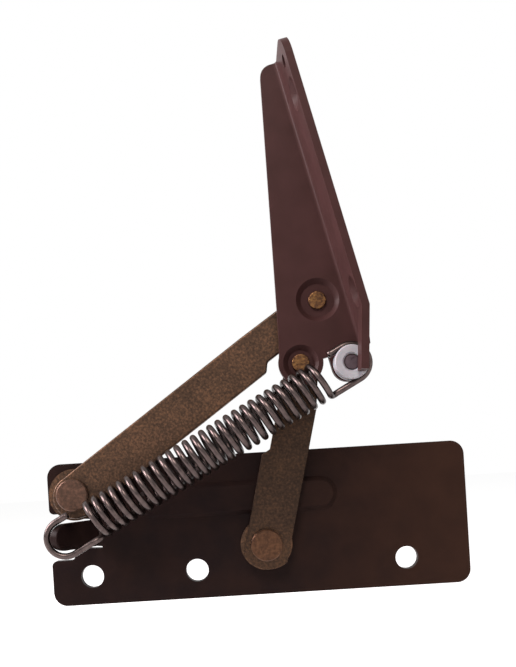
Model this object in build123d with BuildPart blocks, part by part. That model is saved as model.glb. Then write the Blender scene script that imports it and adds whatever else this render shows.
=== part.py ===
from build123d import *

import os
from math import acos, atan2, cos, degrees, hypot, pi, radians, sin, sqrt, tan

# Chest hinge with a balance spring, in millimetres, shown open.
# X runs along the plate, Z is up and Y is the depth: the plate's mounting face lies at Y = 0 and
# everything else stands out of it towards -Y. A depth below is a distance out of that face.
# The origin is the axis of the plate's left screw hole, on the mounting face.

# Sheet and plate
sheet = 2.0
plate_length = 101.4
plate_height = 34.5
plate_left = 9.6
plate_below = 6.8
plate_corner = 3.3
screw_hole_radius = 2.75
screw_hole_places = [0.0, 25.5, 76.5]

# Pivots, as (x, z) in the open pose
long_pivot = (-2.88, 20.14)
short_pivot = (42.64, 5.5)
bracket_long_pivot = (57.97, 62.61)
spring_anchor = (-3.2, 10.85)

# Pivots on the bracket, from the long lever's: outward from the web and down along the flange
short_pivot_outward = -8.02
short_pivot_down = 13.03
roller_outward = 2.27
roller_down = 16.9

# Bosses, washers and levers
boss_rise = 0.7
boss_radius = 4.4
boss_slope = 0.6
washer_thickness = 0.5
washer_radius = 6.25
lever_thickness = 2.0
flat_gap = 0.1
running_gap = 0.06
rivet_radius = 2.5
rivet_head_radius = 3.8
rivet_head = 1.2
rivet_head_rim = 0.25
rear_head_radius = 3.5
rear_head = 1.0
tail_radius = 3.0

# Stiffening rib of the plate
rib_length = 48.5
rib_width = 8.2
rib_flat = 4.6
rib_rise = 0.9
rib_left = 12.0
rib_level = 17.0
rib_back_step = 1.15

# Notch in the plate's left edge, and the tongue that is bent up out of it
notch_low = 4.2
notch_height = 11.4
notch_depth = 5.7
notch_round = 1.2
lance_gap = 0.15
tongue_width = 6.8
tongue_tip_width = 4.8
tongue_rise = 68.0
tongue_lean = 3.0
tongue_bearing = 0.4
tongue_over = 1.1
tongue_root = 3.0
tongue_inner_bend = 1.0
tongue_tip_round = 0.9

# Long lever: half-widths above and below the line of its pivots, and its relief notch
long_above = 4.6
long_below = 5.8
long_eye = 4.2
long_relief = 4.0
long_relief_start = 54.5
long_relief_ramp = 1.7

# Short lever: half-widths left and right of the line of its pivots, low and high
short_left = 5.0
short_right = 5.6
short_waist_left = 3.4
short_waist_right = 5.8
short_waist_start = 21.0
short_waist_ramp = 1.6
short_waist_end = 34.0
short_foot = 3.2
short_foot_bulge = 2.6
short_eye = 4.4
short_corner = 0.8

# Bracket, seen in its own directions: outward from the web and up along the flange
bracket_lean = 13.4
bracket_sheet = 1.7
web_gap = 1.3
flange_offset = 8.5
flange_depth = 13.7
flange_slant_start = 8.0
flange_slant_low = 2.0
bracket_top = 56.0
web_top_width = 5.73
web_left_edge = 11.45
web_left_level = 6.5
web_bottom = 13.6
web_top_round = 3.0
short_lobe = 5.3
short_lobe_step = 0.4
roller_lobe = 3.7
bend_inside = 0.8
near_corner = 5.0
keeper_height = 5.5
keeper_start = 6.5
keeper_length = 13.8
keeper_angle = 17.3
keeper_slit = 0.8
dimple_press = 1.2
dimple_slope = 1.2
long_dimple_radius = 5.1
short_dimple_radius = 4.2
dimple_skirt = 0.5
lid_screw_radius = 2.1
lid_countersink_radius = 3.6
lid_countersink_angle = 110.0
lid_screw_places = [-2.2, 43.8]
lid_screw_rise = 9.3
pilot_hole_radius = 1.4
pilot_hole_place = 51.3

# Rivets in the bracket
neck_radius = 1.7
brass_radius = 2.1
brass_height = 0.8

# Roller and its pin
pin_radius = 1.8
pin_collar_radius = 2.7
pin_tail_radius = 2.6
pin_tail = 0.7
roller_radius = 3.9
roller_width = 4.2
roller_side_gap = 0.2
groove_gap = 0.2
roller_rim = 0.3
bore_chamfer = 0.35
pin_short_of_roller = 0.3

# Spring
wire = 1.5
coil_radius = 4.2
coil_pitch = 2.19
coil_turns = 28
coil_start = 7.04
coil_depth = 13.9
corner_reach = 1.9
corner_depth = 1.7
lower_hook_end = 3.2
upper_hook_end = 3.6

# Depths out of the mounting face
plate_front = sheet
washer_back = plate_front + boss_rise
washer_front = washer_back + washer_thickness
lever_back = washer_front + flat_gap
lever_front = lever_back + lever_thickness
head_back = lever_front + flat_gap
web_back = lever_front + web_gap
web_front = web_back + bracket_sheet
dimple_back = web_back - dimple_press
dimple_floor = web_front - dimple_press
flange_near = web_front + flange_depth
keeper_far = flange_near - keeper_height

os.makedirs("parts", exist_ok=True)


def picture_plane(depth, origin=(0.0, 0.0), turn=0.0):
    """A plane parallel to the mounting face, facing out of it, with its x axis turned by degrees."""
    direction = (cos(radians(turn)), 0, sin(radians(turn)))
    return Plane(origin=(origin[0], -depth, origin[1]), x_dir=direction, z_dir=(0, -1, 0))


def line_angle(start, end):
    """Angle in degrees, above +X, of the line from start to end."""
    return degrees(atan2(end[1] - start[1], end[0] - start[0]))


def distance(start, end):
    """Distance between two places given as (x, z)."""
    return hypot(end[0] - start[0], end[1] - start[1])


def bracket_place(outward, along):
    """The (x, z) of a place outward from the web and up along the flange, from the long lever's pivot."""
    turn = radians(bracket_lean)
    x = bracket_long_pivot[0] + outward * cos(turn) - along * sin(turn)
    z = bracket_long_pivot[1] + outward * sin(turn) + along * cos(turn)
    return (x, z)


bracket_short_pivot = bracket_place(short_pivot_outward, -short_pivot_down)
roller_pivot = bracket_place(roller_outward, -roller_down)


def disc(place, radius, low, high, mode=Mode.ADD):
    """A cylinder about an axis along Y at place, from one depth to another."""
    with BuildSketch(picture_plane(low, place)) as profile:
        Circle(radius)
    extrude(profile.sketch, amount=high - low, mode=mode)


def cone(place, low_radius, high_radius, low, high, mode=Mode.ADD):
    """A cone about an axis along Y at place, from one depth and radius to another."""
    with BuildSketch(picture_plane(low, place)) as low_end:
        Circle(low_radius)
    with BuildSketch(picture_plane(high, place)) as high_end:
        Circle(high_radius)
    loft([low_end.sketch.face(), high_end.sketch.face()], mode=mode)


def keep(name, label):
    """Labels a finished piece and writes it."""
    name.part.label = label
    export_step(name.part, f"parts/{label}.step")


# Base plate: outline with the notch, screw holes, bosses, rib and tongue
plate_right = plate_length - plate_left
plate_above = plate_height - plate_below
notch_end = notch_depth - plate_left
notch_high = notch_low + notch_height
coil_angle = line_angle(spring_anchor, roller_pivot)
loop_height = coil_depth - plate_front
tongue_turn = 180.0 - tongue_lean
tongue_run = (loop_height + sheet / 2 / cos(radians(tongue_rise))) / tan(radians(tongue_rise))
tongue_x = (
    spring_anchor[0]
    - tongue_bearing * cos(radians(coil_angle))
    - tongue_run * cos(radians(tongue_turn))
)
tongue_z = (
    spring_anchor[1]
    - tongue_bearing * sin(radians(coil_angle))
    - tongue_run * sin(radians(tongue_turn))
)
tongue_length = (loop_height + tongue_over) / sin(radians(tongue_rise))
tongue_cos = cos(radians(tongue_rise))
tongue_sin = sin(radians(tongue_rise))
tongue_miter = sheet * tan(radians(tongue_rise / 2))
tongue_reach = tongue_length * tongue_cos + sheet * tongue_sin

with BuildPart() as base_plate:
    with BuildSketch(picture_plane(0)) as plate_outline:
        with BuildLine():
            Polyline(
                (-plate_left, -plate_below),
                (plate_right, -plate_below),
                (plate_right, plate_above),
                (-plate_left, plate_above),
                (-plate_left, notch_high),
                (notch_end, notch_high),
                (notch_end, notch_low),
                (-plate_left, notch_low),
                close=True,
            )
        make_face()
        levels = plate_outline.vertices().group_by(Axis.Y)
        fillet(levels[1] + levels[2], notch_round)
        levels = plate_outline.vertices().group_by(Axis.Y)
        fillet(levels[0] + levels[-1], plate_corner)
    extrude(amount=sheet)
    for place in (long_pivot, short_pivot):
        cone(place, boss_radius, boss_radius - boss_slope, sheet, washer_back)
        cone(place, boss_radius - boss_slope, boss_radius - 2 * boss_slope, 0, boss_rise, Mode.SUBTRACT)
        disc(place, rivet_radius, 0, washer_back, Mode.SUBTRACT)
    rib_place = (rib_left + rib_length / 2, rib_level)
    rib_slope = rib_width - rib_flat
    with BuildSketch(picture_plane(sheet, rib_place)):
        SlotOverall(rib_length, rib_width)
    with BuildSketch(picture_plane(sheet + rib_rise, rib_place)):
        SlotOverall(rib_length - rib_slope, rib_flat)
    loft()
    with BuildSketch(picture_plane(0, rib_place)):
        SlotOverall(rib_length - 2 * rib_back_step, rib_width - 2 * rib_back_step)
    with BuildSketch(picture_plane(rib_rise, rib_place)):
        SlotOverall(rib_length - rib_slope - 2 * rib_back_step, rib_flat - 2 * rib_back_step)
    loft(mode=Mode.SUBTRACT)
    with BuildSketch(picture_plane(0)):
        with Locations([(place, 0) for place in screw_hole_places]):
            Circle(screw_hole_radius)
    extrude(amount=sheet, mode=Mode.SUBTRACT)
    window_start = -tongue_inner_bend * tan(radians(tongue_rise / 2))
    window_end = tongue_x - notch_end + notch_round
    with BuildSketch(picture_plane(0, (tongue_x, tongue_z), tongue_turn)):
        with Locations(((window_start + window_end) / 2, 0)):
            Rectangle(window_end - window_start, tongue_width + 2 * lance_gap)
    extrude(amount=sheet, mode=Mode.SUBTRACT)

with BuildPart() as tongue:
    tongue_along = (cos(radians(tongue_turn)), 0, sin(radians(tongue_turn)))
    tongue_across = (sin(radians(tongue_turn)), 0, -cos(radians(tongue_turn)))
    with BuildSketch(Plane(origin=(tongue_x, 0, tongue_z), x_dir=tongue_along, z_dir=tongue_across)) as side:
        with BuildLine():
            Polyline(
                (-tongue_root, 0),
                (tongue_miter, 0),
                (tongue_reach, sheet + tongue_length * tongue_sin - sheet * tongue_cos),
                (tongue_length * tongue_cos, sheet + tongue_length * tongue_sin),
                (0, sheet),
                (-tongue_root, sheet),
                close=True,
            )
        make_face()
        bend_front = side.vertices().sort_by_distance((0, sheet))[0]
        fillet(bend_front, tongue_inner_bend)
        bend_back = side.vertices().sort_by_distance((tongue_miter, 0))[0]
        fillet(bend_back, tongue_inner_bend + sheet)
    extrude(amount=tongue_width / 2, both=True)
    with BuildSketch(picture_plane(0, (tongue_x, tongue_z), tongue_turn)) as plan:
        with BuildLine():
            Polyline(
                (-tongue_root, -tongue_width / 2),
                (0, -tongue_width / 2),
                (tongue_reach, -tongue_tip_width / 2),
                (tongue_reach, tongue_tip_width / 2),
                (0, tongue_width / 2),
                (-tongue_root, tongue_width / 2),
                close=True,
            )
        make_face()
        fillet(plan.vertices().sort_by(Axis.X)[-2:], tongue_tip_round)
    extrude(amount=plate_front + loop_height + tongue_over + sheet, mode=Mode.INTERSECT)

with base_plate:
    add(tongue.part)
keep(base_plate, "base_plate")

# Washers on the bosses
for label, place in (("long_lever_washer", long_pivot), ("short_lever_washer", short_pivot)):
    with BuildPart() as washer:
        disc(place, washer_radius, washer_back, washer_front)
        disc(place, rivet_radius, washer_back, washer_front, Mode.SUBTRACT)
    keep(washer, label)

# Rivets on the plate: head in front of the lever, shank, and tail spread in the back of the boss
for label, place in (("lower_long_rivet", long_pivot), ("lower_short_rivet", short_pivot)):
    with BuildPart() as rivet:
        disc(place, tail_radius, flat_gap, boss_rise)
        disc(place, rivet_radius, boss_rise, head_back)
        disc(place, rivet_head_radius, head_back, head_back + rivet_head)
        front_rim = rivet.edges().filter_by(GeomType.CIRCLE).group_by(Axis.Y)[0]
        chamfer(front_rim, rivet_head_rim)
    keep(rivet, label)

# Long lever, in the directions of its own pivot line
long_length = distance(long_pivot, bracket_long_pivot)
long_angle = line_angle(long_pivot, bracket_long_pivot)
end_radius = (long_above + long_below) / 2
with BuildPart() as long_lever:
    with BuildSketch(picture_plane(lever_back, long_pivot, long_angle)):
        with BuildLine():
            Line((0, long_above), (long_relief_start, long_above))
            Line((long_relief_start, long_above), (long_length, long_eye))
            ThreePointArc((long_length, long_eye), (long_length + long_eye, 0), (long_length, -long_eye))
            Line((long_length, -long_eye), (long_relief_start + long_relief_ramp, -long_relief))
            Line((long_relief_start + long_relief_ramp, -long_relief), (long_relief_start, -long_below))
            Line((long_relief_start, -long_below), (0, -long_below))
            ThreePointArc((0, -long_below), (-end_radius, long_above - end_radius), (0, long_above))
        make_face()
        with Locations((0, 0), (long_length, 0)):
            Circle(rivet_radius + running_gap, mode=Mode.SUBTRACT)
    extrude(amount=lever_thickness)
keep(long_lever, "long_lever")

# Short lever, in the directions of its own pivot line
short_length = distance(short_pivot, bracket_short_pivot)
short_angle = line_angle(short_pivot, bracket_short_pivot) - 90.0
eye_level = short_length + sqrt(short_eye**2 - short_waist_left**2)
with BuildPart() as short_lever:
    with BuildSketch(picture_plane(lever_back, short_pivot, short_angle)) as short_outline:
        with BuildLine():
            Line((-short_left, -short_foot), (-short_left, short_waist_start))
            Line((-short_left, short_waist_start), (-short_waist_left, short_waist_start + short_waist_ramp))
            Line((-short_waist_left, short_waist_start + short_waist_ramp), (-short_waist_left, eye_level))
            ThreePointArc(
                (-short_waist_left, eye_level), (0, short_length + short_eye), (short_eye, short_length)
            )
            Line((short_eye, short_length), (short_waist_right, short_waist_end))
            Line((short_waist_right, short_waist_end), (short_right, short_waist_start))
            Line((short_right, short_waist_start), (short_right, -short_foot))
            ThreePointArc(
                (short_right, -short_foot),
                ((short_right - short_left) / 2, -short_foot - short_foot_bulge),
                (-short_left, -short_foot),
            )
        make_face()
        fillet(short_outline.vertices().sort_by(Axis.Y)[:2], short_corner)
        Circle(rivet_radius + running_gap, mode=Mode.SUBTRACT)
        with Locations((0, short_length)):
            Circle(rivet_radius, mode=Mode.SUBTRACT)
    extrude(amount=lever_thickness)
keep(short_lever, "short_lever")


# Bracket: web, flange, keeper and dimples
lobe_at = (short_pivot_outward, -short_pivot_down)
pin_at = (roller_outward, -roller_down)
bracket_along = (-sin(radians(bracket_lean)), 0, cos(radians(bracket_lean)))
bracket_outward = (cos(radians(bracket_lean)), 0, sin(radians(bracket_lean)))
flange_inside = flange_offset - bracket_sheet
keeper_cos = cos(radians(keeper_angle))
keeper_sin = sin(radians(keeper_angle))
keeper_bend = bracket_sheet * tan(radians(keeper_angle / 2)) - keeper_start
keeper_out = flange_inside - keeper_length * keeper_sin
keeper_down = keeper_bend - keeper_length * keeper_cos
flange_edge_x, flange_edge_z = bracket_place(flange_inside, 0)


def bracket_point(outward, depth, along):
    """A point of the bracket, outward from the web, out of the mounting face and up along the flange."""
    x, z = bracket_place(outward, along)
    return Vector(x, -depth, z)


with BuildPart() as upper_bracket:
    with BuildSketch(picture_plane(web_back, bracket_long_pivot, bracket_lean)) as web:
        with BuildLine():
            Polyline(
                (flange_offset, bracket_top),
                (flange_offset - web_top_width, bracket_top),
                (-web_left_edge, -web_left_level),
                (lobe_at[0] - short_lobe, lobe_at[1]),
                (lobe_at[0] + short_lobe - short_lobe_step, -web_bottom),
                (pin_at[0] - roller_lobe, -web_bottom),
                (pin_at[0] - roller_lobe, pin_at[1]),
                (pin_at[0] + roller_lobe, pin_at[1]),
                (pin_at[0] + roller_lobe, -web_bottom),
                (flange_offset, -web_bottom),
                close=True,
            )
        make_face()
        fillet(web.vertices().group_by(Axis.Y)[-1].sort_by(Axis.X)[0], web_top_round)
        with Locations(lobe_at):
            Circle(short_lobe)
        with Locations(pin_at):
            Circle(roller_lobe)
    extrude(amount=bracket_sheet)
    with BuildSketch(
        Plane(origin=(flange_edge_x, 0, flange_edge_z), x_dir=bracket_along, z_dir=bracket_outward)
    ) as flange:
        with BuildLine():
            Polyline(
                (bracket_top, web_back),
                (bracket_top, flange_near),
                (-keeper_start, flange_near),
                (-keeper_start, keeper_far - keeper_slit),
                (-flange_slant_start, keeper_far - keeper_slit),
                (-web_bottom, web_front + flange_slant_low),
                (-web_bottom, web_back),
                close=True,
            )
        make_face()
        near_top = flange.vertices().group_by(Axis.X)[-1].sort_by(Axis.Y)[-1]
        fillet(near_top, near_corner)
    extrude(amount=bracket_sheet)
    with BuildSketch(picture_plane(keeper_far, bracket_long_pivot, bracket_lean)):
        with BuildLine():
            Polyline(
                (flange_inside, 0),
                (flange_inside, keeper_bend),
                (keeper_out, keeper_down),
                (keeper_out + bracket_sheet * keeper_cos, keeper_down - bracket_sheet * keeper_sin),
                (flange_offset, -keeper_start),
                (flange_offset, 0),
                close=True,
            )
        make_face()
    extrude(amount=keeper_height)
    along_edges = upper_bracket.edges().filter_by(Axis((0, 0, 0), bracket_along))
    outer_bend = along_edges.sort_by_distance(bracket_point(flange_offset, web_back, bracket_top / 2))[0]
    inner_bend = along_edges.sort_by_distance(bracket_point(flange_inside, web_front, bracket_top / 2))[0]
    fillet(outer_bend, bend_inside + bracket_sheet)
    fillet(inner_bend, bend_inside)
    dimples = ((bracket_long_pivot, long_dimple_radius), (bracket_short_pivot, short_dimple_radius))
    for place, radius in dimples:
        cone(place, radius - dimple_slope + dimple_skirt, radius + dimple_skirt, dimple_back, web_back)
        cone(place, radius - dimple_slope, radius, dimple_floor, web_front, Mode.SUBTRACT)
        disc(place, neck_radius, dimple_back, web_front, Mode.SUBTRACT)
    disc(roller_pivot, pin_radius, web_back, web_front, Mode.SUBTRACT)
    screw_depth = web_front + lid_screw_rise
    inward = -Vector(*bracket_outward)
    for along in lid_screw_places:
        screw_point = bracket_point(flange_inside, screw_depth, along)
        with Locations(Plane(origin=screw_point, x_dir=(0, 1, 0), z_dir=inward)):
            CounterSinkHole(lid_screw_radius, lid_countersink_radius, bracket_sheet, lid_countersink_angle)
    pilot_point = bracket_point(flange_inside, screw_depth, pilot_hole_place)
    with Locations(Plane(origin=pilot_point, x_dir=(0, 1, 0), z_dir=inward)):
        Hole(pilot_hole_radius, bracket_sheet)
keep(upper_bracket, "upper_bracket")

# Rivet between long lever and bracket: rear head, shank, shouldered neck and brass tail
with BuildPart() as upper_long_rivet:
    disc(bracket_long_pivot, rear_head_radius, lever_back - flat_gap - rear_head, lever_back - flat_gap)
    disc(bracket_long_pivot, rivet_radius, lever_back - flat_gap, dimple_back)
    disc(bracket_long_pivot, neck_radius, dimple_back, dimple_floor)
    disc(bracket_long_pivot, brass_radius, dimple_floor, dimple_floor + brass_height)
    brass_rim = upper_long_rivet.edges().filter_by(GeomType.CIRCLE).group_by(Axis.Y)[0]
    fillet(brass_rim, rivet_head_rim)
keep(upper_long_rivet, "upper_long_rivet")

# Rivet between short lever and bracket, split at the lever's front: this pivot is the opened one
with BuildPart() as upper_short_rivet:
    disc(bracket_short_pivot, rear_head_radius, lever_back - rear_head, lever_back)
    disc(bracket_short_pivot, rivet_radius, lever_back, lever_front)
keep(upper_short_rivet, "upper_short_rivet")

with BuildPart() as upper_short_rivet_tail:
    disc(bracket_short_pivot, neck_radius, dimple_back + flat_gap, dimple_floor)
    disc(bracket_short_pivot, brass_radius, dimple_floor, dimple_floor + brass_height)
    brass_rim = upper_short_rivet_tail.edges().filter_by(GeomType.CIRCLE).group_by(Axis.Y)[0]
    fillet(brass_rim, rivet_head_rim)
keep(upper_short_rivet_tail, "upper_short_rivet_tail")

# Roller pin: tail behind the web, collar and journal
roller_back = coil_depth - roller_width / 2
roller_front = coil_depth + roller_width / 2
with BuildPart() as roller_pin:
    disc(roller_pivot, pin_tail_radius, web_back - pin_tail, web_back)
    disc(roller_pivot, pin_radius, web_back, roller_front - pin_short_of_roller)
    disc(roller_pivot, pin_collar_radius, web_front, roller_back - roller_side_gap)
    pin_rim = roller_pin.edges().filter_by(GeomType.CIRCLE).group_by(Axis.Y)[0]
    chamfer(pin_rim, rivet_head_rim)
keep(roller_pin, "roller_pin")

# Roller: a spool whose round groove takes the spring's upper hook
groove_radius = wire / 2 + groove_gap
groove_half = sqrt(groove_radius**2 - (coil_radius - roller_radius) ** 2)
half_width = roller_width / 2
bore_radius = pin_radius + running_gap
roller_middle = (roller_pivot[0], -coil_depth, roller_pivot[1])
roller_plane = Plane(origin=roller_middle, x_dir=(1, 0, 0), z_dir=(0, 0, 1))
with BuildPart() as spring_roller:
    with BuildSketch(roller_plane) as spool:
        with BuildLine():
            Polyline(
                (roller_radius, groove_half),
                (roller_radius, half_width),
                (bore_radius, half_width),
                (bore_radius, -half_width),
                (roller_radius, -half_width),
                (roller_radius, -groove_half),
            )
            ThreePointArc(
                (roller_radius, -groove_half), (coil_radius - groove_radius, 0), (roller_radius, groove_half)
            )
        make_face()
        outer_rims = spool.vertices().group_by(Axis.X)[-1].sort_by(Axis.Y)
        fillet([outer_rims[0], outer_rims[-1]], roller_rim)
        bore_rims = spool.vertices().group_by(Axis.X)[0]
        chamfer(bore_rims, bore_chamfer)
    revolve(axis=Axis((roller_pivot[0], 0, roller_pivot[1]), (0, 1, 0)))
keep(spring_roller, "spring_roller")

# Spring: lower hook, coil and upper hook as one wire, on arcs that follow the helix
spring_length = distance(spring_anchor, roller_pivot)
axis_dir = Vector(cos(radians(coil_angle)), 0, sin(radians(coil_angle)))
side_dir = Vector(-sin(radians(coil_angle)), 0, cos(radians(coil_angle)))
near_dir = Vector(0, -1, 0)
anchor_point = Vector(spring_anchor[0], -coil_depth, spring_anchor[1])


def spring_point(along, side, near):
    """A point at a distance along the spring's axis, to its upper side and towards the viewer."""
    return anchor_point + axis_dir * along + side_dir * side + near_dir * near


def spring_direction(along, side, near):
    """A unit vector in the spring's own directions."""
    return (axis_dir * along + side_dir * side + near_dir * near).normalized()


def coil_point(turn):
    """Point and direction on the helix after a number of turns, from its lower side round the back."""
    angle = pi + 2 * pi * turn
    climb = coil_pitch / (2 * pi)
    point = spring_point(coil_start + coil_pitch * turn, coil_radius * cos(angle), coil_radius * sin(angle))
    return point, spring_direction(climb, -coil_radius * sin(angle), coil_radius * cos(angle))


def biarc(start, start_dir, end, end_dir):
    """Two arcs that leave start along start_dir and arrive at end along end_dir."""
    gap = end - start
    both = start_dir + end_dir
    spread = 2 * (1 - start_dir.dot(end_dir))
    reach = (-gap.dot(both) + sqrt(gap.dot(both) ** 2 + spread * gap.dot(gap))) / spread
    first = start + start_dir * reach
    last = end - end_dir * reach
    middle = (first + last) * 0.5
    return TangentArc(start, middle, tangent=start_dir), TangentArc(middle, end, tangent=(last - first))


corner_turn = acos(sqrt(1 - (corner_depth / coil_radius) ** 2)) / (2 * pi)
coil_end = coil_start + coil_pitch * coil_turns
turn_stops = [corner_turn] + [k / 2 for k in range(1, 2 * coil_turns)] + [coil_turns - corner_turn]
with BuildPart() as tension_spring:
    with BuildLine() as coil_path:
        Line(spring_point(lower_hook_end, coil_radius, 0), spring_point(0, coil_radius, 0))
        ThreePointArc(
            spring_point(0, coil_radius, 0),
            spring_point(-coil_radius, 0, 0),
            spring_point(0, -coil_radius, 0),
        )
        arm_end = spring_point(coil_start - corner_reach, -coil_radius, 0)
        Line(spring_point(0, -coil_radius, 0), arm_end)
        point, direction = coil_point(turn_stops[0])
        biarc(arm_end, axis_dir, point, direction)
        for turn in turn_stops[1:]:
            next_point, next_direction = coil_point(turn)
            biarc(point, direction, next_point, next_direction)
            point, direction = next_point, next_direction
    with BuildSketch(Plane(origin=coil_path.line @ 0, z_dir=coil_path.line % 0)):
        Circle(wire / 2)
    sweep(path=coil_path.line)
keep(tension_spring, "tension_spring")

# The wire goes on from the coil's last turn into the upper hook, kept apart from the coil because
# it travels away from it as the spring stretches
with BuildPart() as spring_upper_hook:
    with BuildLine() as hook_path:
        arm_start = spring_point(coil_end + corner_reach, -coil_radius, 0)
        biarc(point, direction, arm_start, axis_dir)
        Line(arm_start, spring_point(spring_length, -coil_radius, 0))
        ThreePointArc(
            spring_point(spring_length, -coil_radius, 0),
            spring_point(spring_length + coil_radius, 0, 0),
            spring_point(spring_length, coil_radius, 0),
        )
        Line(
            spring_point(spring_length, coil_radius, 0),
            spring_point(spring_length - upper_hook_end, coil_radius, 0),
        )
    with BuildSketch(Plane(origin=hook_path.line @ 0, z_dir=hook_path.line % 0)):
        Circle(wire / 2)
    sweep(path=hook_path.line)
keep(spring_upper_hook, "spring_upper_hook")


def least_gap(edges, samples=6, skip=4 * wire):
    """Smallest clear distance between two stretches of the wire that are not neighbours along it."""
    points = []
    run = 0.0
    for edge in edges:
        for k in range(samples):
            points.append((run + edge.length * k / samples, edge @ (k / samples)))
        run += edge.length
    gaps = [
        (p - q).length
        for i, (here, p) in enumerate(points)
        for there, q in points[i + 1 :]
        if there - here > skip
    ]
    return min(gaps) - wire


wire_edges = coil_path.edges() + hook_path.edges()
print("spring: least gap between turns", round(least_gap(wire_edges), 3), "mm")
print("spring: wire length", round(sum(edge.length for edge in wire_edges), 1), "mm")
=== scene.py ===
"""Studio scene of a sprung chest-lid hinge: enamelled plate and bracket, bronzed levers, balance spring."""

import logging
import math
from dataclasses import dataclass, field
from enum import Enum

import bmesh
import bpy
import numpy as np
from mathutils import Matrix, Vector

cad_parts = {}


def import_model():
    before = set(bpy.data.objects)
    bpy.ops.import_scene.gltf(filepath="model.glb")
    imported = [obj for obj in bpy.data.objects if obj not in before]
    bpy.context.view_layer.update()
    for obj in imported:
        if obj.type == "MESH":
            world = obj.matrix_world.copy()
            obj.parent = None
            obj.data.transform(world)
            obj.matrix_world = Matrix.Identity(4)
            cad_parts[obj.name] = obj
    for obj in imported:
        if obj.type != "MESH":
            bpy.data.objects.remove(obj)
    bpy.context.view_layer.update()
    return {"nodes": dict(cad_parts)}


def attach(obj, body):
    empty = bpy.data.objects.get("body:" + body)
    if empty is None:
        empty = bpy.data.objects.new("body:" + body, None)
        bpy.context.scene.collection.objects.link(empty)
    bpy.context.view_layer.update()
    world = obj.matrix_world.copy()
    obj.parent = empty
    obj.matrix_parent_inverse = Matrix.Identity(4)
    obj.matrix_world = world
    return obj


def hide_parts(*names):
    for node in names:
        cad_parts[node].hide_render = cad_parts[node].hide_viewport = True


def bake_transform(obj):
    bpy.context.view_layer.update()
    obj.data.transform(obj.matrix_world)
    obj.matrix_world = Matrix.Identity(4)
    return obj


LOG = logging.getLogger("chest_hinge")
MM = 0.001
JOIN_MM = 0.001

Colour = tuple[float, float, float, float]


def srgb(code: str) -> Colour:
    """Turns an sRGB hex colour into linear red, green, blue and a full alpha.

    A value v up to 0.04045 becomes v / 12.92, and a higher one ((v + 0.055) / 1.055) ** 2.4.

    Args:
        code: Six hex digits, with or without a leading hash.

    Returns:
        Four linear values from 0 to 1.
    """
    digits = code.lstrip("#")
    values = np.array([int(digits[k:k + 2], 16) for k in (0, 2, 4)]) / 255.0
    linear = np.where(values <= 0.04045, values / 12.92, ((values + 0.055) / 1.055) ** 2.4)
    return (float(linear[0]), float(linear[1]), float(linear[2]), 1.0)


def per_metre(size_mm: float) -> float:
    """Texture scale that gives one repeat in size_mm millimetres, for coordinates in metres."""
    return 1.0 / (size_mm * MM)


def grey(level: float) -> Colour:
    """A neutral colour of one linear level."""
    return (level, level, level, 1.0)


def add_node(
    tree: bpy.types.NodeTree,
    kind: str,
    settings: dict[str, object] | None = None,
    inputs: dict[str | int, object] | None = None,
    stops: list[tuple[float, Colour]] | None = None,
) -> bpy.types.Node:
    """Adds one node, sets its properties, and fills or links its inputs.

    Args:
        tree: The node tree that gets the node.
        kind: The node's Blender type name.
        settings: Properties of the node, by name.
        inputs: Values, or output sockets to link from, by input name or number.
        stops: Positions from 0 to 1 with their linear colours, for a node that has a ramp.

    Returns:
        The new node.
    """
    node = tree.nodes.new(kind)
    for name, value in (settings or {}).items():
        setattr(node, name, value)
    for name, value in (inputs or {}).items():
        if isinstance(value, bpy.types.NodeSocket):
            tree.links.new(value, node.inputs[name])
        else:
            node.inputs[name].default_value = value
    if stops:
        elements = node.color_ramp.elements
        # A ramp starts with a stop at each end, so one more goes in between them.
        while len(elements) < len(stops):
            elements.new(0.5)
        for element, (position, colour) in zip(elements, stops):
            element.position = position
            element.color = colour
    return node


def gloss_stops(roughness: float, changes: tuple[tuple[float, float], ...]) -> list[tuple[float, Colour]]:
    """Ramp stops round a middle roughness, from pairs of noise level and change of roughness."""
    return [(level, grey(roughness + change)) for level, change in changes]


class Finish:
    """A finish that makes its own material from the nodes that its surface method adds."""

    def surface(self, tree: bpy.types.NodeTree) -> bpy.types.NodeSocket:
        """Adds the nodes that give the finish its look.

        Args:
            tree: The material's node tree.

        Returns:
            The shader's socket.
        """
        raise NotImplementedError

    def build(self, name: str) -> bpy.types.Material:
        """Makes the material.

        Args:
            name: Its name in the file.

        Returns:
            The material.
        """
        material = bpy.data.materials.new(name)
        material.use_nodes = True
        tree = material.node_tree
        tree.nodes.clear()
        add_node(tree, "ShaderNodeOutputMaterial", inputs={"Surface": self.surface(tree)})
        return material


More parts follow.
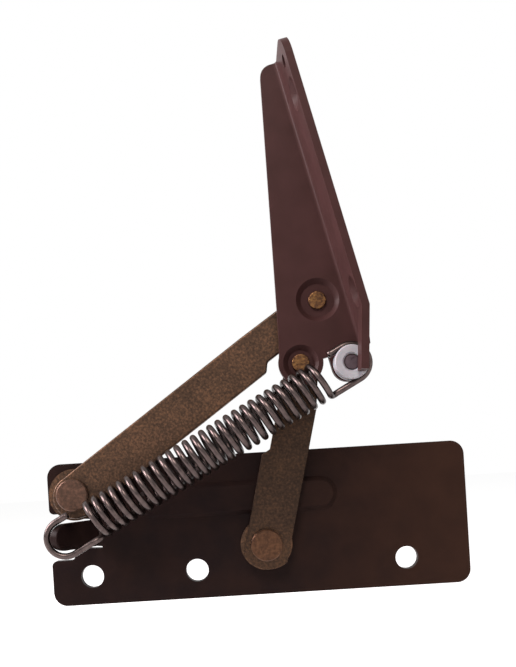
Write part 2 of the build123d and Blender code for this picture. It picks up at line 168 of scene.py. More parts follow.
@dataclass(frozen=True)
class BrownEnamel(Finish):
    """Brown enamel, dipped over pressed steel and stoved.

    To the eye it is a brown near to black with a soft, wide sheen. Its colour is faintly cloudy, a fine
    orange peel breaks up what it reflects, and a ramp of painted light makes it lighter towards the part's
    right side, where more light falls, and darker to the left, where shade falls.
    """

    colour: str = "#1b1212"
    light_colour: str = "#38261f"
    colour_levels: tuple[float, float] = (0.1, 0.62)
    specular: float = 0.05
    roughness: float = 0.4
    gloss: tuple[tuple[float, float], ...] = ((0.3, -0.05), (0.7, 0.06))
    cloud_mm: float = 6.0
    cloud_detail: float = 5.0
    unevenness: float = 0.32
    # Painted light: these fields lift the colour towards the part's right side, where more light falls, and
    # leave it darker to the left, where shade falls.
    painted_light_from_mm: float = 35.0
    painted_light_to_mm: float = 100.0
    painted_light_ramp: float = 0.0
    peel_mm: float = 0.9
    peel_detail: float = 2.0
    peel_height_mm: float = 0.006

    def surface(self, tree: bpy.types.NodeTree) -> bpy.types.NodeSocket:
        """Adds the enamel's clouds, fade, gloss and orange peel.

        Args:
            tree: The material's node tree.

        Returns:
            The shader's socket.
        """
        place = add_node(tree, "ShaderNodeTexCoord").outputs["Object"]
        cloud = add_node(
            tree,
            "ShaderNodeTexNoise",
            inputs={"Vector": place, "Scale": per_metre(self.cloud_mm), "Detail": self.cloud_detail},
        ).outputs["Fac"]
        # Painted light: the colour is lifted along X towards the right, where more light falls, and stays
        # darker to the left, in the shade.
        across = add_node(tree, "ShaderNodeSeparateXYZ", inputs={"Vector": place}).outputs["X"]
        painted_light = add_node(
            tree,
            "ShaderNodeMapRange",
            {"interpolation_type": "SMOOTHSTEP"},
            {
                "Value": across,
                "From Min": self.painted_light_from_mm * MM,
                "From Max": self.painted_light_to_mm * MM,
                "To Min": 0.0,
                "To Max": self.painted_light_ramp,
            },
        ).outputs["Result"]
        level = add_node(
            tree, "ShaderNodeMath", {"operation": "MULTIPLY_ADD"}, {0: cloud, 1: self.unevenness, 2: painted_light}
        ).outputs["Value"]
        shades = list(zip(self.colour_levels, (srgb(self.colour), srgb(self.light_colour))))
        colour = add_node(tree, "ShaderNodeValToRGB", inputs={"Fac": level}, stops=shades).outputs["Color"]
        gloss = add_node(
            tree, "ShaderNodeValToRGB", inputs={"Fac": cloud}, stops=gloss_stops(self.roughness, self.gloss)
        ).outputs["Color"]
        peel = add_node(
            tree,
            "ShaderNodeTexNoise",
            inputs={"Vector": place, "Scale": per_metre(self.peel_mm), "Detail": self.peel_detail},
        ).outputs["Fac"]
        bump = add_node(
            tree,
            "ShaderNodeBump",
            inputs={"Height": peel, "Distance": self.peel_height_mm * MM, "Strength": 1.0},
        ).outputs["Normal"]
        return add_node(
            tree,
            "ShaderNodeBsdfPrincipled",
            inputs={
                "Base Color": colour,
                "Roughness": gloss,
                "Normal": bump,
                "Specular IOR Level": self.specular,
            },
        ).outputs["BSDF"]


@dataclass(frozen=True)
class BronzedSteel(Finish):
    """Steel with an antique bronze plating, darkened and then rubbed back.

    To the eye it is a brown metal, mottled as finely as sand, with rubbed patches that are lighter and
    faint scratches along it that show in its gloss. The mottle and the scratches are drawn somewhat
    coarser than the real ones, which would be too fine to show.
    """

    dark: str = "#33261e"
    middle: str = "#463428"
    light: str = "#664936"
    colour_levels: tuple[float, float, float] = (0.32, 0.5, 0.72)
    metallic: float = 0.85
    roughness: float = 0.42
    gloss: tuple[tuple[float, float], ...] = ((0.35, -0.1), (0.65, 0.1))
    mottle_mm: float = 0.6
    mottle_detail: float = 6.0
    mottle_roughness: float = 0.62
    patch_mm: float = 14.0
    patch_detail: float = 3.0
    patch_weight: float = 0.5
    scratch_mm: float = 0.35
    scratch_stretch: float = 14.0
    scratch_turn: float = 0.6
    scratch_detail: float = 3.0
    bump_mm: float = 0.012
    bump_strength: float = 0.7

    def surface(self, tree: bpy.types.NodeTree) -> bpy.types.NodeSocket:
        """Adds the plating's mottle, rubbed patches and scratches.

        Args:
            tree: The material's node tree.

        Returns:
            The shader's socket.
        """
        place = add_node(tree, "ShaderNodeTexCoord").outputs["Object"]
        mottle = add_node(
            tree,
            "ShaderNodeTexNoise",
            inputs={
                "Vector": place,
                "Scale": per_metre(self.mottle_mm),
                "Detail": self.mottle_detail,
                "Roughness": self.mottle_roughness,
            },
        ).outputs["Fac"]
        patch = add_node(
            tree,
            "ShaderNodeTexNoise",
            inputs={"Vector": place, "Scale": per_metre(self.patch_mm), "Detail": self.patch_detail},
        ).outputs["Fac"]
        mixed = add_node(
            tree, "ShaderNodeMath", {"operation": "MULTIPLY_ADD"}, {0: patch, 1: self.patch_weight, 2: mottle}
        ).outputs["Value"]
        level = add_node(
            tree, "ShaderNodeMath", {"operation": "SUBTRACT"}, {0: mixed, 1: self.patch_weight / 2}
        ).outputs["Value"]
        shades = list(zip(self.colour_levels, (srgb(self.dark), srgb(self.middle), srgb(self.light))))
        colour = add_node(tree, "ShaderNodeValToRGB", inputs={"Fac": level}, stops=shades).outputs["Color"]
        long_way = add_node(
            tree,
            "ShaderNodeMapping",
            inputs={
                "Vector": place,
                "Rotation": (0.0, self.scratch_turn, 0.0),
                "Scale": (1.0, 1.0, self.scratch_stretch),
            },
        ).outputs["Vector"]
        scratch = add_node(
            tree,
            "ShaderNodeTexNoise",
            inputs={
                "Vector": long_way,
                "Scale": per_metre(self.scratch_mm * self.scratch_stretch),
                "Detail": self.scratch_detail,
            },
        ).outputs["Fac"]
        gloss = add_node(
            tree, "ShaderNodeValToRGB", inputs={"Fac": scratch}, stops=gloss_stops(self.roughness, self.gloss)
        ).outputs["Color"]
        bump = add_node(
            tree,
            "ShaderNodeBump",
            inputs={"Height": mottle, "Distance": self.bump_mm * MM, "Strength": self.bump_strength},
        ).outputs["Normal"]
        return add_node(
            tree,
            "ShaderNodeBsdfPrincipled",
            inputs={"Base Color": colour, "Roughness": gloss, "Normal": bump, "Metallic": self.metallic},
        ).outputs["BSDF"]


@dataclass(frozen=True)
class SmoothFinish(Finish):
    """A turned, drawn or moulded surface: even to the eye, with a little life in its tone and gloss."""

    colour: str
    light_colour: str
    metallic: float
    roughness: float
    grain_mm: float
    bump_mm: float
    subsurface: float = 0.0
    subsurface_mm: float = 1.0
    colour_levels: tuple[float, float] = (0.35, 0.68)
    gloss: tuple[tuple[float, float], ...] = ((0.3, -0.04), (0.7, 0.06))
    grain_detail: float = 4.0
    bump_strength: float = 0.8

    def surface(self, tree: bpy.types.NodeTree) -> bpy.types.NodeSocket:
        """Adds the grain that shades the colour, the gloss and the surface.

        Args:
            tree: The material's node tree.

        Returns:
            The shader's socket.
        """
        place = add_node(tree, "ShaderNodeTexCoord").outputs["Object"]
        grain = add_node(
            tree,
            "ShaderNodeTexNoise",
            inputs={"Vector": place, "Scale": per_metre(self.grain_mm), "Detail": self.grain_detail},
        ).outputs["Fac"]
        shades = list(zip(self.colour_levels, (srgb(self.colour), srgb(self.light_colour))))
        colour = add_node(tree, "ShaderNodeValToRGB", inputs={"Fac": grain}, stops=shades).outputs["Color"]
        gloss = add_node(
            tree, "ShaderNodeValToRGB", inputs={"Fac": grain}, stops=gloss_stops(self.roughness, self.gloss)
        ).outputs["Color"]
        bump = add_node(
            tree,
            "ShaderNodeBump",
            inputs={"Height": grain, "Distance": self.bump_mm * MM, "Strength": self.bump_strength},
        ).outputs["Normal"]
        return add_node(
            tree,
            "ShaderNodeBsdfPrincipled",
            inputs={
                "Base Color": colour,
                "Roughness": gloss,
                "Normal": bump,
                "Metallic": self.metallic,
                "Subsurface Weight": self.subsurface,
                "Subsurface Scale": self.subsurface_mm * MM,
            },
        ).outputs["BSDF"]


class Surface(Enum):
    """The finishes that the hinge's pieces have."""

    ENAMEL = "stoved_brown_enamel"
    BRACKET = "stoved_bracket_enamel"
    BRONZE = "antique_bronze_plating"
    # A darker copy of the plating: painted shade for the short lever, which lies in the spring's shadow.
    SHADED_BRONZE = "painted_shade_bronze_plating"
    PIN = "blued_turned_pin"
    RIVET = "bronze_plated_rivet"
    WARM_RIVET = "warm_bronze_plated_rivet"
    BRASS = "peened_brass"
    NYLON = "moulded_white_nylon"
    WIRE = "bronzed_spring_wire"


FINISHES: dict[Surface, Finish] = {
    # The plate's enamel: nearly black, with painted light that makes it a warmer, lighter brown at its right
    # end.
    Surface.ENAMEL: BrownEnamel(painted_light_ramp=0.42),
    # The bracket's enamel has more red in it: a maroon that shows its folds with a slightly stronger sheen.
    Surface.BRACKET: BrownEnamel(colour="#3c2827", light_colour="#56393a", specular=0.07),
    # The long lever and the washers: plating rubbed well back, a mid brown with clear mottling.
    Surface.BRONZE: BronzedSteel(),
    # The short lever: the same plating with painted shade, darker and more even, standing for the spring's
    # shadow on it.
    Surface.SHADED_BRONZE: BronzedSteel(dark="#251a13", middle="#32241b", light="#483324"),
    # A turned pin, blued: a violet grey end with a tight glint.
    Surface.PIN: SmoothFinish(
        colour="#4a3d43", light_colour="#5a4c52", metallic=0.5, roughness=0.3, grain_mm=0.9, bump_mm=0.004
    ),
    # A pressed rivet head, plated: a paler, pinkish brown disc on its lever.
    Surface.RIVET: BronzedSteel(
        dark="#44332a", middle="#573f34", light="#6b5041", mottle_mm=0.8, roughness=0.38
    ),
    # The same head on the short lever, warmer and darker.
    Surface.WARM_RIVET: BronzedSteel(
        dark="#332217", middle="#422c1f", light="#553a28", mottle_mm=0.8, roughness=0.38
    ),
    # Peened brass: the hammer leaves small golden flecks on a dark brown end.
    Surface.BRASS: BronzedSteel(
        dark="#2e1d12", middle="#573a25", light="#845f37", metallic=0.8, roughness=0.32, patch_mm=3.0
    ),
    # Moulded nylon: a cool milky white whose edges stay soft, because a little light goes through it.
    Surface.NYLON: SmoothFinish(
        colour="#a5a6ae",
        light_colour="#b0b1b9",
        metallic=0.0,
        roughness=0.42,
        grain_mm=1.2,
        bump_mm=0.002,
        subsurface=0.1,
    ),
    # Drawn spring wire, bronzed: dark grey brown, with a bright line along the top of each turn.
    Surface.WIRE: SmoothFinish(
        colour="#433a39", light_colour="#544a48", metallic=1.0, roughness=0.3, grain_mm=1.1, bump_mm=0.004
    ),
}


def ring_quads(rings: int, sides: int) -> np.ndarray:
    """Four-sided faces between rings of points that are numbered ring by ring.

    Args:
        rings: Number of rings.
        sides: Number of points in each.

    Returns:
        Vertex numbers, one row for each face.
    """
    row = np.arange(rings - 1)[:, None] * sides
    column = np.arange(sides)[None, :]
    beside = (column + 1) % sides
    corners = [row + column, row + beside, row + sides + beside, row + sides + column]
    return np.stack(corners, axis=-1).reshape(-1, 4)


def tube(path: np.ndarray, radius: float, sides: int) -> tuple[np.ndarray, list[tuple[int, ...]]]:
    """A round tube along a path, closed by a flat cut at each end.

    Each ring is centre + radius * (cos a * normal + sin a * binormal). The normal is carried along
    the path by projecting the last one onto each new cross-section, so the rings don't twist.

    Args:
        path: Points of the centre line, one row each.
        radius: Radius of the tube.
        sides: Number of points round it.

    Returns:
        Vertices and faces, the two ends last.
    """
    step = np.gradient(path, axis=0)
    tangent = step / np.linalg.norm(step, axis=1, keepdims=True)
    normal = np.empty_like(path)
    guide = np.cross(tangent[0], (0.0, 1.0, 0.0))
    for k, along in enumerate(tangent):
        guide = guide - along * guide.dot(along)
        guide = guide / np.linalg.norm(guide)
        normal[k] = guide
    binormal = np.cross(tangent, normal)
    angle = np.linspace(0.0, 2.0 * math.pi, sides, endpoint=False)
    ahead = np.cos(angle)[None, :, None] * normal[:, None, :]
    aside = np.sin(angle)[None, :, None] * binormal[:, None, :]
    ring = ahead + aside
    vertices = (path[:, None, :] + radius * ring).reshape(-1, 3)
    quads = ring_quads(len(path), sides)[:, ::-1]
    first = tuple(range(sides))
    last = tuple(range(len(vertices) - 1, len(vertices) - 1 - sides, -1))
    return vertices, [tuple(quad) for quad in quads.tolist()] + [first, last]


def mesh_object(
    name: str, vertices: np.ndarray, faces: list[tuple[int, ...]], surface: bpy.types.Material
) -> bpy.types.Object:
    """Makes a smooth-shaded object at the origin from arrays.

    Args:
        name: The piece's name.
        vertices: Points in metres, in the frame of the part.
        faces: Vertex numbers of each face.
        surface: The material.

    Returns:
        The new object, linked to the scene.
    """
    mesh = bpy.data.meshes.new(name)
    mesh.from_pydata(vertices.tolist(), [], faces)
    mesh.polygons.foreach_set("use_smooth", np.ones(len(mesh.polygons), dtype=bool))
    mesh.materials.append(surface)
    mesh.update()
    piece = bpy.data.objects.new(name, mesh)
    bpy.context.scene.collection.objects.link(piece)
    return piece


@dataclass
class BalanceSpring:
    """Tension spring with a full hook at each end, made from one wire.

    The axis runs from the tongue's anchor to the roller. Sizes are in millimetres, and places are
    (x, z) in the plane that lies depth in front of the mounting face.
    """

    anchor: tuple[float, float] = (-3.2, 10.85)
    roller: tuple[float, float] = (64.095, 46.696)
    depth: float = 13.9
    wire: float = 1.5
    radius: float = 4.2
    pitch: float = 2.19
    turns: int = 28
    start: float = 7.04
    corner_reach: float = 1.9
    corner_depth: float = 1.7
    lower_end: float = 3.2
    upper_end: float = 3.6
    points_per_turn: int = 40
    loop_points: int = 25
    arm_points: int = 7
    tip_points: int = 5
    corner_points: int = 9
    corner_pull: float = 1.35
    sides: int = 14
    bodies: tuple[str, str] = ("spring", "spring_end")
    nodes: tuple[str, str] = ("tension_spring", "spring_upper_hook")

    def axes(self) -> tuple[np.ndarray, np.ndarray, np.ndarray, np.ndarray]:
        """Anchor point and the unit directions along, to the upper side and towards the viewer.

        Returns:
            Four arrays of three numbers, the first in millimetres.
        """
        base = np.array([self.anchor[0], -self.depth, self.anchor[1]])
        tip = np.array([self.roller[0], -self.depth, self.roller[1]])
        along = (tip - base) / np.linalg.norm(tip - base)
        side = np.array([-along[2], 0.0, along[0]])
        near = np.array([0.0, -1.0, 0.0])
        return base, along, side, near

    def length(self) -> float:
        """Distance from the anchor to the roller's axis, in millimetres."""
        return math.hypot(self.roller[0] - self.anchor[0], self.roller[1] - self.anchor[1])

    def corner(self, start: np.ndarray, leave: np.ndarray, end: np.ndarray, arrive: np.ndarray) -> np.ndarray:
        """A smooth bend between two points, as the Hermite cubic through both with the given directions.

        Args:
            start: First point in spring coordinates.
            leave: Direction at the first point.
            end: Last point.
            arrive: Direction at the last point.

        Returns:
            Points from start to end.
        """
        share = np.linspace(0.0, 1.0, self.corner_points)[:, None]
        pull = self.corner_pull * np.linalg.norm(end - start)
        return (
            (2 * share**3 - 3 * share**2 + 1) * start
            + (share**3 - 2 * share**2 + share) * pull * leave
            + (3 * share**2 - 2 * share**3) * end
            + (share**3 - share**2) * pull * arrive
        )

    def centre_line(self) -> np.ndarray:
        """Centre line of the wire in spring coordinates: along, side and near, in millimetres.

        The coil is (start + pitch * t, radius * cos(pi + 2 pi t), radius * sin(pi + 2 pi t)) for t
        turns; each hook is a half circle of the same radius with straight arms.

        Returns:
            Points of the centre line, one row each.
        """
        reach = self.length()
        swing = np.linspace(0.5 * math.pi, 1.5 * math.pi, self.loop_points)
        lower_loop = np.stack([self.radius * np.cos(swing), self.radius * np.sin(swing), 0 * swing], axis=1)
        upper_loop = np.stack(
            [reach - self.radius * np.cos(swing), -self.radius * np.sin(swing), 0 * swing], axis=1
        )
        skip = math.asin(self.corner_depth / self.radius) / (2.0 * math.pi)
        turn = np.linspace(skip, self.turns - skip, self.turns * self.points_per_turn)
        angle = math.pi + 2.0 * math.pi * turn
        coil = np.stack(
            [self.start + self.pitch * turn, self.radius * np.cos(angle), self.radius * np.sin(angle)], axis=1
        )
        forward = np.array([1.0, 0.0, 0.0])
        first_way = coil[1] - coil[0]
        last_way = coil[-1] - coil[-2]
        arm_end = np.array([self.start - self.corner_reach, -self.radius, 0.0])
        arm_start = np.array([self.start + self.pitch * self.turns + self.corner_reach, -self.radius, 0.0])
        lower_from = [self.lower_end, self.radius, 0.0]
        upper_to = [reach - self.upper_end, self.radius, 0.0]
        lower_tip = np.linspace(lower_from, [0.0, self.radius, 0.0], self.tip_points)[:-1]
        lower_arm = np.linspace([0.0, -self.radius, 0.0], arm_end, self.arm_points)[1:-1]
        upper_arm = np.linspace(arm_start, [reach, -self.radius, 0.0], self.arm_points)[1:-1]
        upper_tip = np.linspace([reach, self.radius, 0.0], upper_to, self.tip_points)[1:]
        return np.concatenate(
            [
                lower_tip,
                lower_loop,
                lower_arm,
                self.corner(arm_end, forward, coil[0], first_way / np.linalg.norm(first_way))[:-1],
                coil,
                self.corner(coil[-1], last_way / np.linalg.norm(last_way), arm_start, forward)[1:],
                upper_arm,
                upper_loop,
                upper_tip,
            ]
        )

    def build(self, surface: bpy.types.Material) -> bpy.types.Object:
        """Builds the spring as one fixed mesh from the anchor to the roller.

        Args:
            surface: The wire's material.

        Returns:
            The spring's object.
        """
        base, along, side, near = self.axes()
        line = self.centre_line()
        path = base + line[:, :1] * along + line[:, 1:2] * side + line[:, 2:3] * near
        vertices, faces = tube(path * MM, self.wire / 2 * MM, self.sides)
        piece = mesh_object("balance_spring", vertices, faces, surface)
        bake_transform(piece)
        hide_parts(*self.nodes)
        return piece


def merged(node: bpy.types.Object) -> bmesh.types.BMesh:
    """A copy of a node's mesh, with the loose triangles joined along their shared edges.

    Args:
        node: The frame's node.

    Returns:
        The shape, which the caller frees.
    """
    shape = bmesh.new()
    shape.from_mesh(node.data)
    bmesh.ops.remove_doubles(shape, verts=shape.verts, dist=JOIN_MM * MM)
    return shape


@dataclass
class RolledLevers:
    """The two flat levers with rolled edges. Sizes are in millimetres.

    The blanking die leaves the long lever's edges rolled, which gives it a thin bright line. The short
    edges in the short lever's outline keep its roll to about 0.09, so it looks nearly sharp.
    """

    edge_steps: int = 3
    flat_degrees: float = 1.0
    sharp_degrees: float = 40.0
    pieces: dict[str, tuple[str, Surface, str, float]] = field(
        default_factory=lambda: {
            "long_lever": ("long_lever", Surface.BRONZE, "antique_bronze", 0.45),
            # The short lever takes the shaded copy of the plating: painted shade for the spring's shadow.
            "short_lever": ("short_lever", Surface.SHADED_BRONZE, "antique_bronze", 0.1),
        }
    )

    def build(
        self, nodes: dict[str, bpy.types.Object], materials: dict[Surface, bpy.types.Material]
    ) -> list[bpy.types.Object]:
        """Builds the levers from the nodes' own shapes, with their flat faces made whole and edges rounded.

        Args:
            nodes: The frame's node objects by name.
            materials: The built materials.

        Returns:
            The new pieces.
        """
        made = []
        for name, (body, finish, slot, edge) in self.pieces.items():
            shape = merged(nodes[name])
            bmesh.ops.dissolve_limit(
                shape, angle_limit=math.radians(self.flat_degrees), verts=shape.verts, edges=shape.edges
            )
            shape.verts.index_update()
            vertices = np.array([corner.co for corner in shape.verts])
            faces = [tuple(corner.index for corner in face.verts) for face in shape.faces]
            shape.free()
            piece = mesh_object(f"rolled_{name}", vertices, faces, materials[finish])
            rolled = piece.modifiers.new("rolled_edge", "BEVEL")
            rolled.width = edge * MM
            rolled.segments = self.edge_steps
            rolled.limit_method = "ANGLE"
            rolled.angle_limit = math.radians(self.sharp_degrees)
            rolled.harden_normals = True
            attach(piece, body)
            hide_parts(name)
            made.append(piece)
        return made


@dataclass
class PlateWithTongue:
    """The pressed plate with its spring tongue, whose end is cut round as the loop that hangs on it.

    The plate's own mesh is kept up to the tongue's bend. Sizes are in millimetres: along runs from
    the root of the bend to the tongue's tip, across is its width, and depth is the height over the
    mounting face. The tongue's end stands 0.025 mm clear of the wire's loop, at its lower left,
    where the spring's pull would press them together.
    """

    root: tuple[float, float] = (2.325, 10.354)
    turn_degrees: float = 177.0
    rise_degrees: float = 63.0
    sheet: float = 2.0
    bend_start: float = -0.6745
    bend_radius: float = 2.0
    bend_steps: int = 14
    root_overlap: float = 0.3
    root_half_width: float = 3.4
    loop_side: float = 0.2
    slope_steps: int = 8
    end_half_width: float = 3.1
    end_round: float = 3.6
    end_steps: int = 16
    end_degrees: float = 88.0
    tip_depth: float = 15.5
    cut_along: float = -0.68
    cut_across: float = 3.47
    corner_power: float = 0.3
    sides: int = 36
    sharp_degrees: float = 18.0
    rib_ends: tuple[float, float] = (16.1, 56.4)
    rib_level: float = 17.0
    rib_reach: float = 4.1
    rib_gain: float = 1.3
    rib_steepness: float = 0.6
    rib_margin: float = 0.01
    face_margin: float = 0.0005
    least_away: float = 0.001

    def directions(self) -> tuple[np.ndarray, np.ndarray, np.ndarray]:
        """Unit directions along the tongue, across it and out of the plate.

        Returns:
            Three arrays of three numbers.
        """
        turn = math.radians(self.turn_degrees)
        along = np.array([math.cos(turn), 0.0, math.sin(turn)])
        across = np.array([math.sin(turn), 0.0, -math.cos(turn)])
        return along, across, np.array([0.0, -1.0, 0.0])

    def middle_line(self) -> tuple[np.ndarray, np.ndarray, np.ndarray]:
        """The tongue's middle line, with the lean and the half width of each section.

        The line is straight in the plate, then (start + r sin a, depth + r (1 - cos a)) round the
        bend, then straight up the slope. The half width falls as end_half_width * cos b over the
        last end_round * sin b of the slope, which cuts the end round.

        Returns:
            Points as along and depth, one row each, their leans in radians, and their half widths.
        """
        rise = math.radians(self.rise_degrees)
        bend = np.linspace(0.0, rise, self.bend_steps)
        bend_along = self.bend_start + self.bend_radius * np.sin(bend)
        bend_depth = self.sheet / 2 + self.bend_radius * (1.0 - np.cos(bend))
        bend_line = np.stack([bend_along, bend_depth], axis=1)
        slope = np.array([math.cos(rise), math.sin(rise)])
        slope_length = (self.tip_depth - bend_line[-1, 1]) / slope[1]
        round_from = slope_length - self.end_round
        flare = np.linspace(0.0, math.radians(self.end_degrees), self.end_steps)[1:]
        straight_steps = np.linspace(0.0, round_from, self.slope_steps)[1:]
        steps = np.concatenate([straight_steps, round_from + self.end_round * np.sin(flare)])
        slope_line = bend_line[-1] + steps[:, None] * slope
        start_line = bend_line[:1] - np.array([[self.root_overlap, 0.0]])
        line = np.concatenate([start_line, bend_line, slope_line])
        lean = np.concatenate([[0.0], bend, np.full(len(steps), rise)])
        straight = np.linspace(self.root_half_width, self.end_half_width, len(line) - len(flare))
        half_width = np.concatenate([straight, self.end_half_width * np.cos(flare)])
        return line, lean, half_width

    def tongue(self) -> tuple[np.ndarray, list[tuple[int, ...]]]:
        """The tongue as one closed sheet, in metres. It starts root_overlap inside the plate.

        Each section is half_width * |cos v|^p across and half_sheet * |sin v|^p through the sheet,
        with the signs of cos v and sin v, which is a rectangle with slightly rounded corners.

        Returns:
            Vertices and faces.
        """
        line, lean, half_width = self.middle_line()
        angle = np.linspace(0.0, 2.0 * math.pi, self.sides, endpoint=False)
        wide = np.sign(np.cos(angle)) * np.abs(np.cos(angle)) ** self.corner_power
        thick = np.sign(np.sin(angle)) * np.abs(np.sin(angle)) ** self.corner_power * (self.sheet / 2)
        along, across, out = self.directions()
        base = np.array([self.root[0], 0.0, self.root[1]]) + self.loop_side * across
        centre = base + line[:, :1] * along + line[:, 1:2] * out
        through = -np.sin(lean)[:, None] * along + np.cos(lean)[:, None] * out
        vertices = (
            centre[:, None, :]
            + (half_width[:, None] * wide[None, :])[:, :, None] * across
            + thick[None, :, None] * through[:, None, :]
        ).reshape(-1, 3)
        quads = ring_quads(len(line), self.sides)
        first = tuple(range(self.sides))[::-1]
        last = tuple(range(len(vertices) - self.sides, len(vertices)))
        return vertices * MM, [tuple(quad) for quad in quads.tolist()] + [first, last]

    def press_rib(self, places: np.ndarray) -> np.ndarray:
        """Raises the stiffening rib to its full pressed height, with steep sides.

        Every corner nearer than rib_reach to the rib's middle line has its height over the plate's
        front, or over its back, multiplied by rib_gain. Its distance from the rib's outline is
        multiplied by rib_steepness, which moves it away from the middle line.

        Args:
            places: Corners in millimetres, one row each.

        Returns:
            The moved corners.
        """
        nearest = np.clip(places[:, 0], *self.rib_ends)
        away = np.hypot(places[:, 0] - nearest, places[:, 2] - self.rib_level)
        moved_away = self.rib_reach - self.rib_steepness * (self.rib_reach - away)
        spread = moved_away / np.maximum(away, self.least_away)
        depth = -places[:, 1]
        face = np.where(depth > self.sheet - self.face_margin, self.sheet, 0.0)
        raised = face + self.rib_gain * (depth - face)
        inside = away < self.rib_reach - self.rib_margin
        sideways = nearest + spread * (places[:, 0] - nearest)
        upwards = self.rib_level + spread * (places[:, 2] - self.rib_level)
        moved = np.stack([sideways, -raised, upwards], axis=1)
        return np.where(inside[:, None], moved, places)

    def build(self, plate: bpy.types.Object, surface: bpy.types.Material) -> bpy.types.Object:
        """Builds the plate: its own mesh without the plain tongue, and the round-ended tongue.

        Args:
            plate: The frame's plate node.
            surface: The enamel.

        Returns:
            The new plate.
        """
        along, across, _ = self.directions()
        shape = merged(plate)
        root = np.array([self.root[0], 0.0, self.root[1]])
        places = np.array([corner.co for corner in shape.verts]) / MM - root
        inside = (places @ along > self.cut_along) & (np.abs(places @ across) < self.cut_across)
        plain = [face for face in shape.faces if all(inside[corner.index] for corner in face.verts)]
        bmesh.ops.delete(shape, geom=plain, context="FACES")
        bmesh.ops.holes_fill(shape, edges=[edge for edge in shape.edges if edge.is_boundary], sides=0)
        vertices, faces = self.tongue()
        corners = [shape.verts.new(place) for place in vertices]
        added = [shape.faces.new([corners[k] for k in face]) for face in faces]
        bmesh.ops.recalc_face_normals(shape, faces=added)
        shape.verts.index_update()
        vertices = self.press_rib(np.array([corner.co for corner in shape.verts]) / MM) * MM
        faces = [tuple(corner.index for corner in face.verts) for face in shape.faces]
        shape.free()
        piece = mesh_object("pressed_plate", vertices, faces, surface)
        piece.data.set_sharp_from_angle(angle=math.radians(self.sharp_degrees))
        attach(piece, "base")
        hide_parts("base_plate")
        return piece


@dataclass
class CarriedNodes:
    """The pressed, turned and riveted pieces whose solids are right as they are, with their finishes."""

    finishes: dict[str, Surface] = field(
        default_factory=lambda: {
            "upper_bracket": Surface.BRACKET,
            "roller_pin": Surface.PIN,
            "long_lever_washer": Surface.BRONZE,
            "short_lever_washer": Surface.BRONZE,
            "lower_long_rivet": Surface.RIVET,
            "lower_short_rivet": Surface.WARM_RIVET,
            "upper_long_rivet": Surface.BRASS,
            "upper_short_rivet": Surface.BRASS,
            "upper_short_rivet_tail": Surface.BRASS,
            "spring_roller": Surface.NYLON,
        }
    )

    def dress(self, nodes: dict[str, bpy.types.Object], materials: dict[Surface, bpy.types.Material]) -> None:
        """Gives each carried node its material.

        Args:
            nodes: The frame's node objects by name.
            materials: The built materials.
        """
        for name, finish in self.finishes.items():
            for place in nodes[name].material_slots:
                place.material = materials[finish]
            LOG.info("%s: %s", name, finish.value)


@dataclass(frozen=True)
class Lamp:
    """A square lamp: its place and side in millimetres, its power in watts and its sRGB colour."""

    name: str
    place: tuple[float, float, float]
    side: float
    watts: float
    colour: str


@dataclass(frozen=True)
class FloorPaint(Finish):
    """Matt white paint on the studio's floor: white to the eye, and still pale grey in the shadow."""

    paint: float = 0.86
    glow: float = 0.94

    def surface(self, tree: bpy.types.NodeTree) -> bpy.types.NodeSocket:
        """Adds the paint, and a glow that only the camera and reflections see.

        Args:
            tree: The material's node tree.

        Returns:
            The shader's socket.
        """
        paint = add_node(tree, "ShaderNodeBsdfDiffuse", inputs={"Color": grey(self.paint)}).outputs["BSDF"]
        glow = add_node(
            tree, "ShaderNodeEmission", inputs={"Color": grey(1.0), "Strength": self.glow}
        ).outputs["Emission"]
        dark = add_node(
            tree, "ShaderNodeEmission", inputs={"Color": grey(0.0), "Strength": 0.0}
        ).outputs["Emission"]
        lift = add_node(
            tree, "ShaderNodeMixShader", inputs={"Fac": seen_directly(tree), 1: dark, 2: glow}
        ).outputs["Shader"]
        return add_node(tree, "ShaderNodeAddShader", inputs={0: paint, 1: lift}).outputs["Shader"]


def seen_directly(tree: bpy.types.NodeTree) -> bpy.types.NodeSocket:
    """One where a ray comes from the camera, a reflection or a refraction, and nought elsewhere.

    Args:
        tree: The node tree that gets the nodes.

    Returns:
        The value's socket.
    """
    rays = add_node(tree, "ShaderNodeLightPath").outputs
    largest = {"operation": "MAXIMUM"}
    mirrored = add_node(
        tree, "ShaderNodeMath", largest, {0: rays["Is Glossy Ray"], 1: rays["Is Transmission Ray"]}
    ).outputs["Value"]
    return add_node(tree, "ShaderNodeMath", largest, {0: rays["Is Camera Ray"], 1: mirrored}).outputs["Value"]


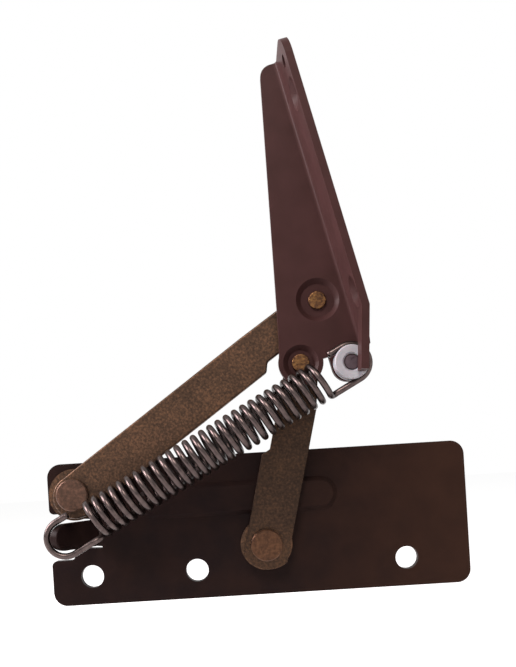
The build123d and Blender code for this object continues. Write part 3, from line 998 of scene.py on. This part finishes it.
@dataclass
class Studio:
    """Camera at the photograph's place, a pale floor and soft lamps. Lengths are in millimetres.

    The camera looks square at the plate and is turned about its own axis, so the heights of the spring,
    the roller and the bracket show as they do in the photograph. Its pixels are the photograph's.
    """

    eye: tuple[float, float, float] = (38.71, -187.0, 26.62)
    roll_degrees: float = -3.5
    focal_pixels: float = 761.3
    shift_pixels: tuple[float, float] = (13.0, 124.0)
    long_side_pixels: float = 667.0
    sensor_mm: float = 36.0
    nearest: float = 5.0
    farthest: float = 20000.0
    floor_level: float = -42.0
    floor_side: float = 3000.0
    surround: float = 0.03
    hinge_middle: tuple[float, float, float] = (40.0, -8.0, 50.0)
    lamps: tuple[Lamp, ...] = (
        Lamp("key", (-40.0, -300.0, 330.0), 140.0, 1.25, "#fff2ea"),
        Lamp("side", (-320.0, -60.0, 200.0), 180.0, 2.6, "#fff4f6"),
        Lamp("fill", (290.0, -200.0, 60.0), 140.0, 0.12, "#ffece0"),
    )

    def camera(self) -> None:
        """Puts the camera square to the plate, turned about its own axis as the photograph is."""
        data = bpy.data.cameras.new("camera")
        data.sensor_width = self.sensor_mm
        data.lens = self.sensor_mm * self.focal_pixels / self.long_side_pixels
        data.shift_x = self.shift_pixels[0] / self.long_side_pixels
        data.shift_y = self.shift_pixels[1] / self.long_side_pixels
        data.clip_start = self.nearest * MM
        data.clip_end = self.farthest * MM
        camera = bpy.data.objects.new("camera", data)
        upright = Matrix.Rotation(math.radians(90.0), 4, "X")
        roll = Matrix.Rotation(math.radians(self.roll_degrees), 4, "Z")
        camera.matrix_world = Matrix.Translation(Vector(self.eye) * MM) @ upright @ roll
        bpy.context.scene.collection.objects.link(camera)
        bpy.context.scene.camera = camera

    def white(self) -> bpy.types.Material:
        """The floor's paint as a material."""
        return FloorPaint().build("pale_floor")

    def floor(self) -> None:
        """A wide pale floor below the plate."""
        half = self.floor_side / 2
        x, y = np.meshgrid([-half, half], [-half, half])
        corners = np.stack([x.ravel(), y.ravel(), np.full(x.size, self.floor_level)], axis=1) * MM
        mesh_object("floor", corners, [(0, 1, 3, 2)], self.white())

    def hang(self, lamp: Lamp) -> None:
        """Adds a lamp that faces the middle of the hinge.

        Args:
            lamp: The lamp.
        """
        data = bpy.data.lights.new(lamp.name, "AREA")
        data.size = lamp.side * MM
        data.energy = lamp.watts
        data.color = srgb(lamp.colour)[:3]
        light = bpy.data.objects.new(lamp.name, data)
        light.location = Vector(lamp.place) * MM
        target = Vector(self.hinge_middle) * MM
        light.rotation_euler = (target - light.location).to_track_quat("-Z", "Y").to_euler()
        bpy.context.scene.collection.objects.link(light)

    def world(self) -> None:
        """A white surround for the camera and for reflections, and a softer one that lights the hinge."""
        world = bpy.data.worlds.new("surround")
        bpy.context.scene.world = world
        world.use_nodes = True
        tree = world.node_tree
        tree.nodes.clear()
        level = add_node(
            tree, "ShaderNodeMath", {"operation": "MAXIMUM"}, {0: seen_directly(tree), 1: self.surround}
        ).outputs["Value"]
        sky = add_node(
            tree, "ShaderNodeBackground", inputs={"Color": grey(1.0), "Strength": level}
        ).outputs["Background"]
        add_node(tree, "ShaderNodeOutputWorld", inputs={"Surface": sky})

    def build(self) -> None:
        """Sets up camera, floor, surround and lamps."""
        self.camera()
        self.floor()
        self.world()
        for lamp in self.lamps:
            self.hang(lamp)
        bpy.context.scene.view_settings.view_transform = "Standard"


def main() -> None:
    """Dresses the frame's nodes, adds levers, plate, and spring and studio."""
    logging.basicConfig(level=logging.INFO, format="%(name)s: %(message)s")
    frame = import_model()
    materials = {finish: recipe.build(finish.value) for finish, recipe in FINISHES.items()}
    CarriedNodes().dress(frame["nodes"], materials)
    for piece in RolledLevers().build(frame["nodes"], materials):
        LOG.info("%s: %d faces", piece.name, len(piece.data.polygons))
    plate = PlateWithTongue().build(frame["nodes"]["base_plate"], materials[Surface.ENAMEL])
    LOG.info("%s: %d faces", plate.name, len(plate.data.polygons))
    spring = BalanceSpring().build(materials[Surface.WIRE])
    LOG.info("%s: %d faces", spring.name, len(spring.data.polygons))
    Studio().build()


if __name__ == "__main__":
    main()
